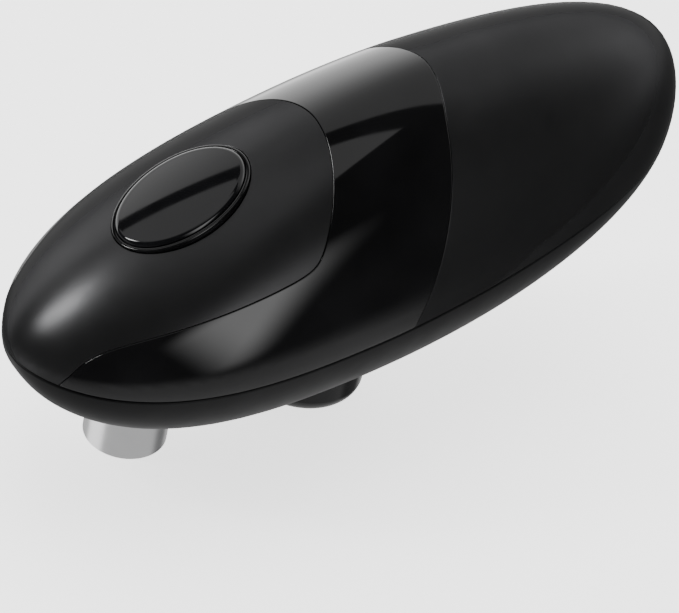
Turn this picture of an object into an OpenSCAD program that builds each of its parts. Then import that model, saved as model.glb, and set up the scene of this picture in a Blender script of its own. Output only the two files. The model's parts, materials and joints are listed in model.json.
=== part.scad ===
// Battery electric can opener: an egg-shaped three-shell body over a gearbox,
// with a steel cutter boss and a serrated drive wheel hanging below it.
// Front is -X, rear is +X, the cutter boss stands along Z on the plane z = 0.

/* [Body form] */
// Overall length of the body
body_length = 190; // [180:1:200]
// Half width at the widest section
half_width = 35; // [34:0.5:37]
// Rise of the crown above the spine
crown_height = 44.5; // [44:0.5:47]
// Drop of the belly below the spine
belly_depth = 32; // [31:0.5:34]
// Height of the spine at the nose
spine_front = 39; // [38:0.5:41]
// Height of the spine at the tail
spine_rear = 64.5; // [63:0.5:67]
// Height of the flat underside
underside = 17; // [16:0.5:18]
// Wall thickness of the shells
wall = 2.4; // [2:0.1:2.6]
// Gap between neighbouring shells
shell_gap = 0.2; // [0.1:0.05:0.4]

/* [Start button] */
// Distance of the button's centre from mid length
button_x = -54.5; // [-57:0.5:-52]
// Half length of the bezel
bezel_a = 18.2; // [17:0.1:19]
// Half width of the bezel
bezel_b = 12.4; // [12:0.1:13.5]
// Width of the bezel's visible rim
bezel_rim = 1; // [0.9:0.1:1.4]
// Height of the button's face above the crown
button_proud = 0.5; // [0.3:0.1:1]
// Travel of the button
button_travel = 1.5; // [1:0.1:1.8]

/* [Cutter boss] */
// Distance of the boss axis from mid length
boss_x = -58; // [-58.5:0.5:-57.5]
// Radius of the boss
boss_r = 10.5; // [10:0.1:10.6]
// Radius of the cutter wheel
cutter_r = 9; // [8.5:0.1:9]
// Distance from the boss axis to the cutter's pivot
cutter_offset = 6; // [5.5:0.1:6]
// Direction of the parked cutter, from straight back
parked_angle = 60; // [55:1:65]
// Height of the cutter wheel's lower face
cutter_z = 12.6; // [12:0.1:13]

/* [Drive] */
// Radius of the serrated drive wheel
drive_wheel_r = 6; // [5.5:0.1:6]
// Radius of the drive shaft
drive_shaft_r = 3; // [2.8:0.1:3]
// Radius of the fixed gear pins
gear_pin_r = 1.5; // [1.3:0.1:1.6]
// Radial clearance of every running fit
running_fit = 0.06; // [0.03:0.01:0.08]
// Radius of the motor
motor_r = 12.2; // [11.5:0.1:12.4]
// Length of the motor's can
motor_length = 26; // [24:1:27]

/* [Magnet] */
// Distance of the magnet from mid length
magnet_x = -6; // [-8:0.5:-4]
// Radius of the magnet housing
housing_r = 16; // [15:0.5:16.5]
// Radius of the magnet
magnet_r = 11; // [10:0.5:12]
// Height of the magnet's lower face
magnet_z = 1; // [0.5:0.5:4]

/* [Batteries] */
// Radius of a cell
cell_r = 7.15; // [7.1:0.05:7.2]
// Length of a cell without its nub
cell_length = 48.6; // [48:0.1:48.8]
// Front end of the cells
cells_x = 20.8; // [20.5:0.1:21]
// Height of the middle of the four cells
cells_z = 61.5; // [61:0.5:62]
// Front edge of the battery door
door_front = 22; // [21:0.5:24]
// Distance of the door's hinge from mid length
hinge_x = 68; // [66:0.5:69]
// Half width of the battery door
door_half = 15; // [14:0.5:16]

/* [Hidden] */

$fn = 48;
// Sides of the small round features of the shells
small_round = 20;
big = 300;
half_length = body_length / 2;

// ---------------------------------------------------------------- body form

// Where each profile is fullest, and how it closes: power and root, front then rear
width_peak = -15;
width_close = [2.95, 0.56, 1.8, 0.46];
crown_peak = 16;
crown_close = [1.64, 0.64, 2.8, 0.45];
belly_peak = -14;
belly_close = [2.4, 0.52, 2.3, 0.45];
// Roundness of the cross-section above and below the spine: 2 is an ellipse
crown_power = 1.9;
belly_power = 2.7;
spine_sag = 1.4;
// Cross-sections along the body and points round each, outside and inside
outer_mesh = [40, 48];
inner_mesh = [20, 28];

function reach(x, peak) =
    min(1, x < peak ? (peak - x) / (peak + half_length) : (x - peak) / (half_length - peak));
function profile(x, peak, close) =
    x < peak ? pow(1 - pow(reach(x, peak), close[0]), close[1])
             : pow(1 - pow(reach(x, peak), close[2]), close[3]);
function spine(x) =
    let (u = x / half_length)
    spine_front + (spine_rear - spine_front) * (u + 1) / 2 - spine_sag * (1 + u) * (1 - u * u);
function width_at(x) = half_width * profile(x, width_peak, width_close);
function crown_at(x) = crown_height * profile(x, crown_peak, crown_close);
function belly_at(x) = belly_depth * profile(x, belly_peak, belly_close);
function crown_z(x) = spine(x) + crown_at(x);
function belly_z(x) = spine(x) - belly_at(x);
function power_sin(a, power) = sign(sin(a)) * pow(abs(sin(a)), 2 / power);
function power_cos(a, power) = sign(cos(a)) * pow(abs(cos(a)), 2 / power);

// One cross-section, shrunk inwards by inset
function section_ring(x, inset, sides) =
    [for (i = [0:sides - 1])
        let (a = 360 * i / sides,
             power = a <= 180 ? crown_power : belly_power,
             across = width_at(x) * (1 - inset / half_width),
             up = a <= 180 ? crown_at(x) * (1 - inset / crown_height)
                           : belly_at(x) * (1 - inset / belly_depth))
        [x * (1 - inset / half_length), across * power_cos(a, power), spine(x) + up * power_sin(a, power)]];

module body_solid(inset = 0, mesh = outer_mesh) {
    rings = mesh[0];
    sides = mesh[1];
    last = rings * sides;
    stations = [for (i = [1:rings]) half_length * sin(-90 + 180 * i / (rings + 1))];
    points = concat([for (x = stations) each section_ring(x, inset, sides)],
                    [[-half_length + inset, 0, spine(-half_length)],
                     [half_length - inset, 0, spine(half_length)]]);
    skin = [for (i = [0:rings - 2], j = [0:sides - 1])
                let (a = i * sides + j, b = i * sides + (j + 1) % sides)
                [a, a + sides, b + sides, b]];
    nose = [for (j = [0:sides - 1]) [last, j, (j + 1) % sides]];
    tail = [for (j = [0:sides - 1]) [last + 1, last - sides + (j + 1) % sides, last - sides + j]];
    polyhedron(points, concat(skin, nose, tail), convexity = 4);
}

// Everything inside is worked out as one mesh
module meshed() {
    resize([0, 0, 0]) children();
}

module slab_above(z) {
    translate([-big / 2, -big / 2, z]) cube(big);
}

module outer_form() {
    intersection() {
        body_solid();
        slab_above(underside);
    }
}

module inner_form() {
    intersection() {
        body_solid(wall, inner_mesh);
        slab_above(underside + wall);
    }
}

// A side view, drawn in x and z, carried right across the body
module across_body() {
    rotate([90, 0, 0]) linear_extrude(big, center = true) children();
}

// ---------------------------------------------------------- parting lines

seam_mid = 44.4;
seam_rise = 11.2;
seam_bow = 4;
seam_twist = 3.8;
function seam_z(x) =
    let (u = max(-1, min(1, x / half_length)))
    seam_mid + seam_rise * u + seam_bow * u * u + seam_twist * u * (1 - u * u);

// The gloss band's rear edge leans back as it rises, and bows further back over the crown
band_rear_place = [-2.6, 47];
band_rear_lean = 0.25;
band_rear_bow = 0.025;
band_bow_z = 88;
band_rear_top = 110;
function band_rear_x(z) =
    band_rear_place[0] + band_rear_lean * (z - band_rear_place[1])
    + band_rear_bow * pow(max(0, z - band_bow_z), 2);

// Its front edge runs low along the side, bends up towards the crown and drops steeply at the nose
band_run_place = [-62, 58.6];
band_run_slope = 0.28;
band_climb_place = [-26, 77.5];
band_climb_slope = 1.8;
band_bend = 2;
band_nose_x = -93.8;
band_nose_drop = 56;
band_front_reach = [-93.3, -17];
function band_front_z(x) =
    let (run = band_run_place[1] + band_run_slope * (x - band_run_place[0]),
         climb = band_climb_place[1] + band_climb_slope * (x - band_climb_place[0]))
    (run + climb) / 2 + sqrt(pow((run - climb) / 2, 2) + pow(band_bend, 2))
    - band_nose_drop / (x - band_nose_x);

module below_seam(gap = 0) {
    end = half_length + 5;
    across_body() polygon(concat(
        [for (x = [-end:4:end]) [x, seam_z(x) - gap]],
        [[end, -5], [-end, -5]]));
}

module behind_band(gap = 0) {
    across_body() offset(delta = -gap) polygon(concat(
        [[band_rear_x(0), 0]],
        [for (z = [band_bow_z:2:band_rear_top]) [band_rear_x(z), z]],
        [[big / 2, band_rear_top], [big / 2, 0]]));
}

module ahead_of_band(gap = 0) {
    first = band_front_reach[0];
    last = band_front_reach[1];
    steps = 50;
    across_body() offset(delta = -gap) polygon(concat(
        [for (i = [0:steps])
            let (x = first + (last - first) * pow(i / steps, 1.5))
            [x, band_front_z(x)]],
        [[last, big / 2], [-big / 2, big / 2], [-big / 2, band_front_z(first)]]));
}

// ------------------------------------------------------------- shell screws

screw_r = 1.5;
screw_head_r = 2.9;
screw_boss_r = 3.6;
front_screw = [-78, 0];
side_screw = [4, 26];
tail_screw = [83, 0];
SCREWS = [front_screw, side_screw, [side_screw[0], -side_screw[1]], tail_screw];
screw_length = 12;
screw_bite = 5;
screw_head_h = 2;
screw_head_gap = 0.3;
screw_thread_gap = 0.1;
screw_tip_gap = 0.5;

// Height of the screw head's bearing face: the screw bites into the upper shell by its last part
function screw_seat(place) = seam_z(place[0]) - screw_length + screw_bite;

module screw(place) {
    translate([place[0], place[1], screw_seat(place)]) {
        translate([0, 0, -screw_head_h]) cylinder(r = screw_head_r, h = screw_head_h);
        cylinder(r = screw_r, h = screw_length);
    }
}

module screw_bosses(places) {
    for (place = places) {
        translate([place[0], place[1], 0]) cylinder(r = screw_boss_r, h = big / 2, $fn = small_round);
    }
}

module screw_holes(places) {
    for (place = places) {
        translate([place[0], place[1], 0]) {
            cylinder(r = screw_head_r + screw_head_gap, h = screw_seat(place), $fn = small_round);
            cylinder(r = screw_r + screw_thread_gap, h = screw_seat(place) + screw_length + screw_tip_gap,
                     $fn = small_round);
        }
    }
}

// ------------------------------------------------------------------- shells

button_tilt = atan((crown_z(button_x + 2) - crown_z(button_x - 2)) / 4);
button_z = crown_z(button_x);
bezel_drop = 0.6;
skirt_depth = 7;
bezel_gap = 0.1;

// Puts its children on the crown at the button, with z along the button's axis
module at_button(height = 0) {
    translate([button_x, 0, button_z]) rotate([0, -button_tilt, 0]) translate([0, 0, height]) children();
}

module oval(a, b) {
    polygon([for (i = [0:71]) [a * cos(5 * i), b * sin(5 * i)]]);
}

// The hollow body, with solid screw bosses left standing across its hollow
module shell_between(places) {
    difference() {
        outer_form();
        difference() {
            inner_form();
            screw_bosses(places);
        }
    }
}

module front_shell() {
    color("#2b2b2d") meshed() difference() {
        intersection() {
            shell_between([front_screw]);
            ahead_of_band(shell_gap / 2);
        }
        below_seam(-shell_gap / 2);
        screw_holes([front_screw]);
        at_button(-2 * skirt_depth) linear_extrude(4 * skirt_depth)
            oval(bezel_a + bezel_gap, bezel_b + bezel_gap);
    }
}

module gloss_band() {
    color("#101011") meshed() difference() {
        shell_between([SCREWS[1], SCREWS[2]]);
        ahead_of_band(-shell_gap / 2);
        behind_band(-shell_gap / 2);
        below_seam(-shell_gap / 2);
        screw_holes([SCREWS[1], SCREWS[2]]);
    }
}

module rear_shell() {
    color("#2b2b2d") meshed() difference() {
        intersection() {
            shell_between([tail_screw]);
            behind_band(shell_gap / 2);
        }
        below_seam(-shell_gap / 2);
        screw_holes([tail_screw]);
    }
}

hinge_z = belly_z(hinge_x) + wall;
hinge_barrel_r = 2.2;
hinge_barrel_half = 10;
hinge_pin_r = 1;
hinge_lug = 3.2;
door_gap = 0.3;
door_leaf_back = 6;
finger_notch_r = 6;

module along_y(length) {
    rotate([90, 0, 0]) translate([0, 0, -length / 2]) children();
}

// The full width of the battery opening, ahead of the hinge, with gap left round the door
module door_opening(gap, hinge_gap) {
    far = hinge_x - hinge_barrel_r - door_gap;
    translate([door_front + gap, -door_half + gap, 0])
        cube([far - door_front - gap - hinge_gap, 2 * (door_half - gap), 50]);
}

module bottom_cover() {
    color("#333335") meshed() difference() {
        union() {
            intersection() {
                shell_between(SCREWS);
                below_seam(shell_gap / 2);
            }
            intersection() {
                body_solid();
                for (place = PLATE_POSTS) {
                    translate([place[0], place[1], underside])
                        cylinder(r = standoff_r, h = plate_low - underside, $fn = small_round);
                }
            }
            for (side = [-1, 1]) {
                translate([hinge_x, side * (hinge_barrel_half + door_gap + hinge_lug / 2), hinge_z])
                    along_y(hinge_lug) cylinder(r = hinge_barrel_r, h = hinge_lug);
            }
        }
        screw_holes(SCREWS);
        for (place = PLATE_POSTS) {
            translate([place[0], place[1], underside + 1.5])
                cylinder(r = stud_r + screw_thread_gap, h = 20, $fn = small_round);
        }
        translate([boss_x, 0, 0]) cylinder(r = boss_r + boss_gap, h = plate_low, $fn = 72);
        translate([drive_x, 0, 0]) cylinder(r = drive_shaft_r + 1, h = plate_low, $fn = small_round);
        translate([magnet_x, 0, 0]) cylinder(r = housing_r + housing_gap, h = plate_low, $fn = 72);
        door_opening(0, 0);
        translate([hinge_x - 4, -hinge_barrel_half - door_gap, 0])
            cube([4 + hinge_barrel_r + door_gap, 2 * (hinge_barrel_half + door_gap), 50]);
        translate([hinge_x, 0, hinge_z]) along_y(4 * door_half)
            cylinder(r = hinge_pin_r + 0.02, h = 4 * door_half);
    }
}

module battery_door() {
    color("#333335") union() {
        meshed() difference() {
            intersection() {
                difference() {
                    outer_form();
                    inner_form();
                }
                union() {
                    door_opening(door_gap, 4 * door_gap);
                    translate([hinge_x - door_leaf_back, -hinge_barrel_half, 0])
                        cube([door_leaf_back, 2 * hinge_barrel_half, 45]);
                }
            }
            translate([hinge_x, 0, hinge_z]) along_y(4 * door_half)
                cylinder(r = hinge_barrel_r - 0.4, h = 4 * door_half);
            translate([door_front + 5, 0, belly_z(door_front + 5) - finger_notch_r + 2])
                scale([0.5, 1, 1]) sphere(finger_notch_r);
        }
        translate([hinge_x, 0, hinge_z]) along_y(2 * hinge_barrel_half) difference() {
            cylinder(r = hinge_barrel_r, h = 2 * hinge_barrel_half);
            translate([0, 0, -1]) cylinder(r = hinge_pin_r + running_fit, h = 2 * hinge_barrel_half + 2);
        }
    }
}

module door_hinge_pin() {
    length = 2 * (hinge_barrel_half + hinge_lug);
    color("#b8babd") translate([hinge_x, 0, hinge_z]) along_y(length) cylinder(r = hinge_pin_r, h = length);
}

// ------------------------------------------------------------- start button

button_gap = 0.25;
button_depth = 5;
button_shoulder = 1.1;
button_swell = 0.6;
flange_h = 1.2;
flange_room = 1.2;
flange_wall = 0.4;
board_depth = 14;
board_h = 1.6;
switch_h = 4.3;
plunger_r = 1.7;
stem_gap = 0.1;
plunger_top = -6.4;

module button_bezel() {
    color("#0c0c0d") at_button(-skirt_depth) difference() {
        linear_extrude(skirt_depth - bezel_drop) oval(bezel_a, bezel_b);
        translate([0, 0, -1]) linear_extrude(skirt_depth + 3) oval(bezel_a - bezel_rim, bezel_b - bezel_rim);
        translate([0, 0, -1]) linear_extrude(skirt_depth - button_depth + flange_h + flange_room)
            oval(bezel_a - flange_wall, bezel_b - flange_wall);
    }
}

// The cap above the flange: straight sides, a rounded shoulder, and a face that swells towards its middle.
// Each ring is [inset from the sides, share of the width left, height above the crown].
module button_cap(a, b) {
    sides = 72;
    foot = flange_h / 2 - button_depth;
    rings = concat(
        [[0, 1, foot]],
        [for (t = [0:18:90])
            [button_shoulder * (1 - cos(t)), 1, button_proud - button_shoulder * (1 - sin(t))]],
        [for (share = [0.8:-0.2:0.2])
            [button_shoulder * share, share, button_proud + button_swell * (1 - share * share)]]);
    last = len(rings) - 1;
    points = concat(
        [for (ring = rings, i = [0:sides - 1])
            let (angle = 360 * i / sides)
            [(a * ring[1] - ring[0]) * cos(angle), (b * ring[1] - ring[0]) * sin(angle), ring[2]]],
        [[0, 0, button_proud + button_swell], [0, 0, foot]]);
    skin = [for (k = [0:last - 1], i = [0:sides - 1])
                let (p = k * sides + i, q = k * sides + (i + 1) % sides)
                [p, p + sides, q + sides, q]];
    cap = [for (i = [0:sides - 1]) [last * sides + i, len(points) - 2, last * sides + (i + 1) % sides]];
    base = [for (i = [0:sides - 1]) [(i + 1) % sides, len(points) - 1, i]];
    polyhedron(points, concat(skin, cap, base), convexity = 2);
}

module start_button() {
    color("#0e0e10") at_button() {
        meshed() union() {
            translate([0, 0, -button_depth]) linear_extrude(flange_h)
                oval(bezel_a - flange_wall - button_gap, bezel_b - flange_wall - button_gap);
            button_cap(bezel_a - bezel_rim - button_gap, bezel_b - bezel_rim - button_gap);
            translate([0, 0, plunger_top + stem_gap]) cylinder(r = 2.2, h = 2);
        }
    }
}

// A round wire wound in a helix from z = 0 up to height, between two radii
module coil(height, low_r, high_r, turns, wire_r) {
    steps = 12 * turns;
    points = [for (k = [0:steps], j = [0:5])
        let (u = k / steps, angle = 360 * turns * u,
             across = low_r + (high_r - low_r) * u + wire_r * cos(60 * j),
             up = wire_r + (height - 2 * wire_r) * u + wire_r * sin(60 * j))
        [across * cos(angle), across * sin(angle), up]];
    skin = [for (k = [0:steps - 1], j = [0:5])
        let (p = 6 * k + j, q = 6 * k + (j + 1) % 6)
        [p, p + 6, q + 6, q]];
    ends = [[0, 1, 2, 3, 4, 5], [for (j = [5:-1:0]) 6 * steps + j]];
    polyhedron(points, concat(skin, ends), convexity = 8);
}

module button_spring() {
    foot = -board_depth + board_h + 0.05;
    color("#c4c6c9") at_button(foot) coil(-button_depth - foot - 0.05, 6.5, 6.5, 4, 0.3);
}

module circuit_board() {
    color("#1d5a34") at_button(-board_depth) difference() {
        translate([-23, -13, 0]) cube([46, 26, board_h]);
        for (x = [-20, 20], y = [-9.5, 9.5]) {
            translate([x, y, -1]) cylinder(r = 1.3, h = 4);
        }
    }
}

module switch_body() {
    color("#1a1a1a") at_button(-board_depth + board_h) difference() {
        translate([-3.5, -3.5, 0]) cube([7, 7, switch_h]);
        translate([0, 0, 0.6]) cylinder(r = plunger_r + running_fit, h = switch_h);
    }
}

module switch_plunger() {
    foot = -board_depth + board_h + 0.6 + button_travel + 0.2;
    color("#e8e4d8") at_button(foot) cylinder(r = plunger_r, h = plunger_top - foot);
}

// ---------------------------------------------------------------- gear train

// Heights of the plates and of the five layers of gears between them
plate_h = 2;
plate_low = 24;
layer_z = [26.6, 31.6, 37.4, 41.7, 45.5];
layer_h = [4, 5, 3.5, 3, 2.5];
plate_high = 49;

// Tooth size of each pair, from the wheel back to the motor
wheel_pitch = 0.9;
third_pitch = 0.75;
second_pitch = 0.6;
first_pitch = 0.5;
swing_pitch = 0.7;
pinion_teeth = 12;
drive_teeth = 36;
third_teeth = 36;
second_teeth = 42;
first_teeth = 48;
boss_teeth = 36;
clutch_teeth = 26;

function centres(pitch, teeth_a, teeth_b) = pitch * (teeth_a + teeth_b) / 2;
function beside(place, distance, angle) = [place[0] + distance * cos(angle), place[1] + distance * sin(angle)];

// Turn of a gear that leaves its teeth between those of its neighbour, which lies back along angle
function meshed_turn(teeth, other_teeth, other_turn, angle) =
    angle + 180 - 360 / teeth * (0.5 - (angle - other_turn) * other_teeth / 360);

third_angle = 40;
second_angle = -55;
first_angle = 30;
motor_angle = -120;
drive_x = boss_x + centres(swing_pitch, boss_teeth, clutch_teeth);
drive_place = [drive_x, 0];
gear_3_place = beside(drive_place, centres(wheel_pitch, drive_teeth, pinion_teeth), third_angle);
gear_2_place = beside(gear_3_place, centres(third_pitch, third_teeth, pinion_teeth), second_angle);
gear_1_place = beside(gear_2_place, centres(second_pitch, second_teeth, pinion_teeth), first_angle);
motor_place = beside(gear_1_place, centres(first_pitch, first_teeth, pinion_teeth), motor_angle);
gear_3_turn = meshed_turn(pinion_teeth, drive_teeth, 0, third_angle);
gear_2_turn = meshed_turn(pinion_teeth, third_teeth, gear_3_turn, second_angle);
gear_1_turn = meshed_turn(pinion_teeth, second_teeth, gear_2_turn, first_angle);
motor_turn = meshed_turn(pinion_teeth, first_teeth, gear_1_turn, motor_angle);
clutch_turn = meshed_turn(clutch_teeth, boss_teeth, 0, 0);

PLATE_POSTS = [[-54, 16.5], [-54, -16.5], [-24, -18.5], [6, -14.5]];
post_r = 2.2;
stud_r = 1.2;
standoff_r = 2.6;

// Teeth that taper from root to tip, with a little play to their neighbours
module teeth_outline(teeth, pitch, first = 0, last = 1000) {
    tip = pitch * (teeth / 2 + 0.85);
    root = pitch * (teeth / 2 - 1.15);
    step = 360 / teeth;
    polygon([for (i = [0:teeth - 1])
        let (r = i >= first && i <= last ? tip : root)
        each [for (corner = [[root, -0.27], [r, -0.12], [r, 0.12], [root, 0.27]])
            let (angle = (i + corner[1]) * step)
            [corner[0] * cos(angle), corner[0] * sin(angle)]]]);
}

module spur_gear(teeth, pitch, layer, bore) {
    translate([0, 0, layer_z[layer]]) difference() {
        linear_extrude(layer_h[layer]) teeth_outline(teeth, pitch);
        translate([0, 0, -1]) cylinder(r = bore, h = 10);
    }
}

// A large gear with a pinion below it, on one hub that turns on a fixed pin
module compound_gear(place, turn, teeth, pitch, small_pitch, layer) {
    translate([place[0], place[1], 0]) rotate([0, 0, turn]) difference() {
        union() {
            translate([0, 0, layer_z[layer]]) linear_extrude(layer_h[layer]) teeth_outline(teeth, pitch);
            translate([0, 0, layer_z[layer - 1]])
                linear_extrude(layer_z[layer] - layer_z[layer - 1] + 0.5)
                    teeth_outline(pinion_teeth, small_pitch);
        }
        cylinder(r = gear_pin_r + running_fit, h = big / 2);
    }
}

module gear_1() {
    color("#f1efe8") compound_gear(gear_1_place, gear_1_turn, first_teeth, first_pitch, second_pitch, 4);
}

module gear_2() {
    color("#f1efe8") compound_gear(gear_2_place, gear_2_turn, second_teeth, second_pitch, third_pitch, 3);
}

module gear_3() {
    color("#e9e6dc") compound_gear(gear_3_place, gear_3_turn, third_teeth, third_pitch, wheel_pitch, 2);
}

module drive_gear() {
    color("#9a9ca0") translate([drive_x, 0, 0]) spur_gear(drive_teeth, wheel_pitch, 1, drive_shaft_r);
}

module clutch_gear() {
    color("#e9e6dc") translate([drive_x, 0, 0]) rotate([0, 0, clutch_turn])
        spur_gear(clutch_teeth, swing_pitch, 0, drive_shaft_r + running_fit);
}

// Dished spring washer that drags the clutch gear round until the boss meets its stop
module clutch_washer() {
    low = layer_z[0] + layer_h[0] + 0.05;
    high = layer_z[1] - 0.05;
    color("#c4c6c9") translate([drive_x, 0, 0]) rotate_extrude()
        polygon([[drive_shaft_r + 0.01, high - 0.3], [6.5, low],
                 [6.5, low + 0.3], [drive_shaft_r + 0.01, high]]);
}

module drive_shaft() {
    color("#c9cbce") translate([drive_x, 0, 5.2]) cylinder(r = drive_shaft_r, h = plate_high + plate_h - 5.2);
}

module drive_wheel() {
    teeth = 28;
    color("#a9abae") translate([drive_x, 0, 7.5]) difference() {
        linear_extrude(8.3) polygon([for (i = [0:2 * teeth - 1])
            let (r = drive_wheel_r - (i % 2) * 0.7, angle = 180 * i / teeth)
            [r * cos(angle), r * sin(angle)]]);
        translate([0, 0, -1]) cylinder(r = drive_shaft_r, h = 12);
    }
}

module wheel_nut() {
    color("#8f9195") translate([drive_x, 0, 5]) difference() {
        cylinder(r = 4.6, h = 2.4, $fn = 6);
        translate([0, 0, 0.19]) cylinder(r = drive_shaft_r, h = 4);
    }
}

module gear_pins() {
    for (place = [gear_1_place, gear_2_place, gear_3_place]) {
        color("#c9cbce") translate([place[0], place[1], plate_low])
            cylinder(r = gear_pin_r, h = plate_high + plate_h - plate_low);
    }
}

// Flat plate round the boss, the drive shaft, the gear pins and the posts
module gearbox_plate(z) {
    translate([0, 0, z]) difference() {
        linear_extrude(plate_h) hull() {
            translate([boss_x, 0]) circle(8);
            for (place = PLATE_POSTS) {
                translate(place) circle(2.8);
            }
            translate(gear_3_place) circle(5);
            translate(gear_1_place) circle(3.5);
        }
        translate([boss_x, 0, -1]) cylinder(r = spindle_r + running_fit, h = 5);
        translate([drive_x, 0, -1]) cylinder(r = drive_shaft_r + running_fit, h = 5);
        for (place = [gear_1_place, gear_2_place, gear_3_place]) {
            translate([place[0], place[1], -1]) cylinder(r = gear_pin_r, h = 5);
        }
        for (place = PLATE_POSTS) {
            translate([place[0], place[1], -1]) cylinder(r = stud_r, h = 5);
        }
    }
}

module gearbox_base() {
    color("#dcdad2") gearbox_plate(plate_low);
}

module gearbox_top() {
    color("#dcdad2") difference() {
        gearbox_plate(plate_high);
        translate([motor_place[0], motor_place[1], 0]) cylinder(r = motor_nose_r + 0.05, h = big / 2);
    }
}

module gearbox_posts() {
    for (place = PLATE_POSTS) {
        color("#b8babd") translate([place[0], place[1], 0]) {
            translate([0, 0, plate_low - 3]) cylinder(r = stud_r, h = plate_high + plate_h + 3 - plate_low);
            translate([0, 0, plate_low + plate_h]) cylinder(r = post_r, h = plate_high - plate_low - plate_h);
        }
    }
}

// --------------------------------------------------------------------- motor

motor_nose_r = 3;
motor_shaft_r = 1;
motor_wall = 1;
motor_z = plate_high + plate_h + 0.1;

module at_motor(z) {
    translate([motor_place[0], motor_place[1], z]) children();
}

module motor_can() {
    color("#b4b6b9") at_motor(motor_z) difference() {
        union() {
            cylinder(r = motor_r, h = motor_length);
            translate([0, 0, -plate_h - 0.1]) cylinder(r = motor_nose_r, h = plate_h + 0.2);
        }
        translate([0, 0, motor_wall]) cylinder(r = motor_r - motor_wall, h = motor_length);
        translate([0, 0, -4]) cylinder(r = motor_shaft_r + running_fit, h = 8);
    }
}

module motor_endcap() {
    color("#26262a") at_motor(motor_z + motor_length - 1.5) difference() {
        union() {
            cylinder(r = motor_r - motor_wall, h = 2);
            translate([0, 0, 1.5]) cylinder(r = motor_r, h = 2);
            for (side = [-1, 1]) {
                translate([side * 8 - 1, -0.4, 3.5]) cube([2, 0.8, 3]);
            }
        }
        translate([0, 0, -1]) cylinder(r = motor_shaft_r + running_fit, h = 3.5);
    }
}

module motor_shaft() {
    color("#c9cbce") at_motor(layer_z[4])
        cylinder(r = motor_shaft_r, h = motor_z + motor_length - layer_z[4]);
}

module motor_armature() {
    color("#8a4b2a") at_motor(motor_z + 4) difference() {
        cylinder(r = 8.5, h = motor_length - 9);
        translate([0, 0, -1]) cylinder(r = motor_shaft_r, h = motor_length);
    }
}

module motor_pinion() {
    color("#c8a24a") translate([motor_place[0], motor_place[1], 0]) rotate([0, 0, motor_turn])
        spur_gear(pinion_teeth, first_pitch, 4, motor_shaft_r);
}

// --------------------------------------------------------------- cutter boss

spindle_r = 4;
boss_gap = 0.4;
cutter_h = 1.2;
cutter_pin_r = 2;
cutter_slot = 0.3;

// Puts its children on the cutter's pivot
module at_cutter(z) {
    translate([boss_x, 0, z]) rotate([0, 0, parked_angle]) translate([cutter_offset, 0, 0]) children();
}

module cutter_boss() {
    color("#c6c8cb") difference() {
        union() {
            translate([boss_x, 0, 0]) cylinder(r = boss_r, h = plate_low - 0.5);
            translate([boss_x, 0, 10]) cylinder(r = spindle_r, h = plate_high + plate_h - 10);
        }
        at_cutter(cutter_z - cutter_slot) cylinder(r = cutter_r + 0.4, h = cutter_h + 2 * cutter_slot);
        at_cutter(-1) cylinder(r = cutter_pin_r + 1.7, h = 3.2);
        at_cutter(0) cylinder(r = cutter_pin_r, h = 20);
    }
}

module cutter_wheel() {
    bevel = 1.4;
    color("#d5d7da") at_cutter(cutter_z) rotate_extrude($fn = 96)
        polygon([[cutter_pin_r + running_fit, 0], [cutter_r - bevel, 0], [cutter_r, cutter_h / 2],
                 [cutter_r - bevel, cutter_h], [cutter_pin_r + running_fit, cutter_h]]);
}

module cutter_screw() {
    color("#a9abae") difference() {
        union() {
            at_cutter(0.4) cylinder(r = cutter_pin_r + 1.6, h = 1.8);
            at_cutter(0.4) cylinder(r = cutter_pin_r, h = 19);
        }
        at_cutter(0) translate([-3, -0.4, 0]) cube([6, 0.8, 1]);
    }
}

module boss_gear() {
    arc = parked_angle + 34;
    step = 360 / boss_teeth;
    color("#9a9ca0") translate([boss_x, 0, layer_z[0]]) difference() {
        linear_extrude(layer_h[0]) rotate([0, 0, -2 * step])
            teeth_outline(boss_teeth, swing_pitch, 0, floor(arc / step));
        translate([0, 0, -1]) cylinder(r = spindle_r, h = 10);
    }
}

// -------------------------------------------------------------------- magnet

housing_gap = 0.2;

module magnet_housing() {
    top = plate_low - 0.7;
    round_r = 4;
    color("#0c0c0d") translate([magnet_x, 0, 0]) difference() {
        rotate_extrude($fn = 96) union() {
            polygon([[0, magnet_z + 0.2], [housing_r - round_r, magnet_z + 0.2],
                     [housing_r, magnet_z + 0.2 + round_r], [housing_r, top], [0, top]]);
            translate([housing_r - round_r, magnet_z + 0.2 + round_r]) intersection() {
                circle(round_r);
                translate([0, -round_r]) square(round_r);
            }
        }
        cylinder(r = magnet_r + 0.1, h = magnet_z + 4);
    }
}

module magnet() {
    color("#9fa1a4") translate([magnet_x, 0, magnet_z]) cylinder(r = magnet_r, h = 4);
}

// ----------------------------------------------------------------- batteries

tray_front = cells_x - 3.2;
tray_back = tray_front + 57;
tray_wall = 1.2;
tray_top = cells_z + 2 * cell_r + 1.6;
contact_h = 0.4;
spring_space = 3.1;
nub_h = 1.4;

// The four cells: side, height and which way round
CELLS = [[-1, -1, 0], [1, -1, 1], [-1, 1, 1], [1, 1, 0]];
function cell_y(cell) = cell[0] * (cell_r + 0.1);
function cell_height(cell) = cells_z + cell[1] * (cell_r + 0.1);
function cell_start(cell) = cells_x + (cell[2] == 1 ? 0 : spring_space - nub_h);

module along_x() {
    rotate([0, 90, 0]) children();
}

module battery_tray() {
    color("#2a2a2c") meshed() intersection() {
        body_solid(wall + 0.5, inner_mesh);
        difference() {
            translate([tray_front, -16, cells_z - 15])
                cube([tray_back - tray_front, 32, tray_top - cells_z + 15]);
            translate([tray_front + tray_wall, -14.7, 0])
                cube([tray_back - tray_front - 2 * tray_wall, 29.4, tray_top - tray_wall]);
        }
    }
}

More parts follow.
